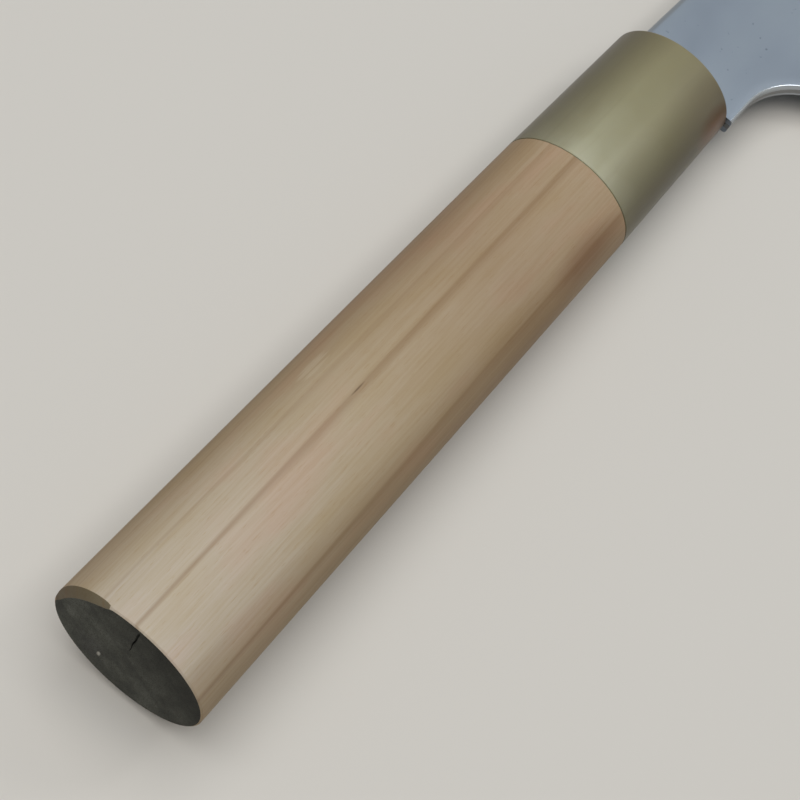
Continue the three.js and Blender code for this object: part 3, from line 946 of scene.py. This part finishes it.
inside = {  # what holds the tang: material, colour, darker colour, grain per mm, roughness
    "joint_dowel": ("cedar_turned", "#b08a5c", "#8d6439", (0.1, 3.0, 3.0), 0.6),
    "tang_bedding": ("epoxy_resin_cast", "#4a3d30", "#2e251c", (0.4, 0.4, 0.4), 0.35),
    "mouth_seal": ("beeswax_poured", "#cdbb8c", "#b39c63", (0.5, 0.5, 0.5), 0.45),
}


def makeInside(node):
    # turned cedar with straight grain, dull cast resin and soft cloudy wax
    name, tone, darker, scale, roughness = inside[node]
    mat = newMaterial(name)
    point = knifePoint(mat)
    stretched = addNode(mat, "ShaderNodeMapping", {"Vector": point, "Scale": scale})
    streak = addNode(mat, "ShaderNodeTexNoise", {"Vector": stretched, "Scale": 1.0, "Detail": 4.0})
    colour = addNode(mat, "ShaderNodeValToRGB", {"Fac": streak}, [(0.35, darker), (0.6, tone)])
    return finishMaterial(mat, streak, 0.05, {"Base Color": colour, "Roughness": roughness, "IOR": 1.48})


# Build

woodPiece = makeWood()
bareWood = makeMagnolia("ho_wood_scraped_bare", "scraped")
cutWood = makeMagnolia("ho_wood_bevel_greyed_and_shaded", "bevel")
dress(woodPiece, bareWood, makeEndGrain(), cutWood)
dressFaces(woodPiece, 1, isButtFace)
dressFaces(woodPiece, 2, isBevelFace)
settle(woodPiece, "handle_body")

ferrulePiece = makeFerrule()
dress(ferrulePiece, makeHorn())
settle(ferrulePiece, "ferrule")

bladePieces = makeLayers(makeBlade())
dress(bladePieces["core_steel"], makeSteel("core_steel_stone_polished", "core"))
satin = makeSteel("cladding_steel_satin_polished", "cladding")
buffed = makeSteel("cladding_steel_buffed", "choil")
for name in ("cladding_steel_right", "cladding_steel_left"):
    dress(bladePieces[name], satin, buffed)
    dressFaces(bladePieces[name], 1, isChoilFace)
settle(bladePieces["core_steel"], "blade_core")
settle(bladePieces["cladding_steel_right"], "cladding_right")
settle(bladePieces["cladding_steel_left"], "cladding_left")

for node in inside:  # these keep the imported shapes
    for holder in frame["nodes"][node].material_slots:
        holder.material = makeInside(node)
print("stage: inner pieces dressed")

# Stage, light and camera

stage = {
    "floorSize": 9.0,
    "floorColour": "#d2cfc8",
    "backdrop": "#cdcbc5",      # what camera and mirrors see past the lit floor
    "fade": (0.32, 0.95),        # m, where the lit floor turns into the backdrop
    "world": (0.185, 0.2, 0.22),  # linear light on the knife from all round
    "lampAim": (-0.05, 0, 0),
    "lamps": (  # name, place in m, size in m, power in W, colour
        ("key", (-0.2, 0.04, 1.1), (1.3, 1.3), 11.7, (1.0, 0.97, 0.94)),
        ("fill", (0.8, 0.05, 1.0), (1.0, 1.0), 0.7, (0.4, 0.7, 1.0)),
        ("strip", (0.45, -0.32, 0.68), (0.16, 0.16), 0.5, (1.0, 1.0, 1.0)),
    ),
}

view = {  # in the knife's own axes, mm
    "eye": (-244.24, -23.63, 254.48),
    "aim": (-83.49, -3.05, 0.0),
    "up": (0.61974, 0.64725, 0.44384),
    "lens": 92.26,
    "sensor": 36.0,
}


def seenShare(tree):  # 1 for what the camera sees, straight or in a mirror, and 0 for light on the knife
    straight = addNode(tree, "ShaderNodeLightPath", out="Is Camera Ray")
    mirrored = addNode(tree, "ShaderNodeLightPath", out="Is Glossy Ray")
    through = addNode(tree, "ShaderNodeLightPath", out="Is Transmission Ray")
    either = addNode(tree, "ShaderNodeMath", {0: straight, 1: mirrored}, operation="MAXIMUM")
    return addNode(tree, "ShaderNodeMath", {0: either, 1: through}, operation="MAXIMUM")


def addFloor():
    clearSelection()
    bpy.ops.mesh.primitive_plane_add(size=stage["floorSize"], location=(0, 0, 0))
    floor = nameNew("floor")
    mat = newMaterial("floor_matt_paint")
    where = addNode(mat, "ShaderNodeTexCoord", out="Object")
    away = addNode(mat, "ShaderNodeVectorMath", {0: where}, out=1, operation="LENGTH")
    start, end = stage["fade"]
    gone = addNode(mat, "ShaderNodeMapRange", {"Value": away, "From Min": start, "From Max": end},
                   interpolation_type="SMOOTHSTEP")
    share = addNode(mat, "ShaderNodeMath", {0: gone, 1: seenShare(mat)}, operation="MULTIPLY")
    lit = addNode(mat, "ShaderNodeBsdfPrincipled", {
        "Base Color": linear(stage["floorColour"]), "Roughness": 0.85})
    plain = addNode(mat, "ShaderNodeEmission", {"Color": linear(stage["backdrop"])})
    surface = addNode(mat, "ShaderNodeMixShader", {0: share, 1: lit, 2: plain})
    output = mat.node_tree.nodes.new("ShaderNodeOutputMaterial")
    mat.node_tree.links.new(surface, output.inputs["Surface"])
    dress(floor, mat)


def addCamera():
    eye = knifeFrame @ (Vector(view["eye"]) * mm)
    aim = knifeFrame @ (Vector(view["aim"]) * mm)
    upHint = knifeFrame.to_3x3() @ Vector(view["up"])
    back = (eye - aim).normalized()
    right = upHint.cross(back).normalized()
    up = back.cross(right)
    data = bpy.data.cameras.new("camera")
    data.lens = view["lens"]
    data.sensor_width = view["sensor"]
    camera = bpy.data.objects.new("camera", data)
    camera.matrix_world = Matrix.Translation(eye) @ Matrix((right, up, back)).transposed().to_4x4()
    bpy.context.scene.collection.objects.link(camera)
    bpy.context.scene.camera = camera


def addLights():
    world = bpy.data.worlds.new("studio")
    world.use_nodes = True
    colour = addNode(world, "ShaderNodeMix", {
        "Factor": seenShare(world), 6: (*stage["world"], 1), 7: linear(stage["backdrop"])},
        out=2, data_type="RGBA")
    world.node_tree.links.new(colour, world.node_tree.nodes["Background"].inputs["Color"])
    bpy.context.scene.world = world
    for name, place, size, power, colour in stage["lamps"]:
        data = bpy.data.lights.new(name, "AREA")
        data.shape = "RECTANGLE"
        data.size, data.size_y = size
        data.energy = power
        data.color = colour
        lamp = bpy.data.objects.new(name, data)
        lamp.location = place
        aim = Vector(stage["lampAim"]) - lamp.location
        lamp.rotation_euler = aim.to_track_quat("-Z", "Y").to_euler()
        bpy.context.scene.collection.objects.link(lamp)


addFloor()
addCamera()
addLights()
bpy.context.scene.view_settings.view_transform = "Standard"
print("stage: floor, camera and light set")
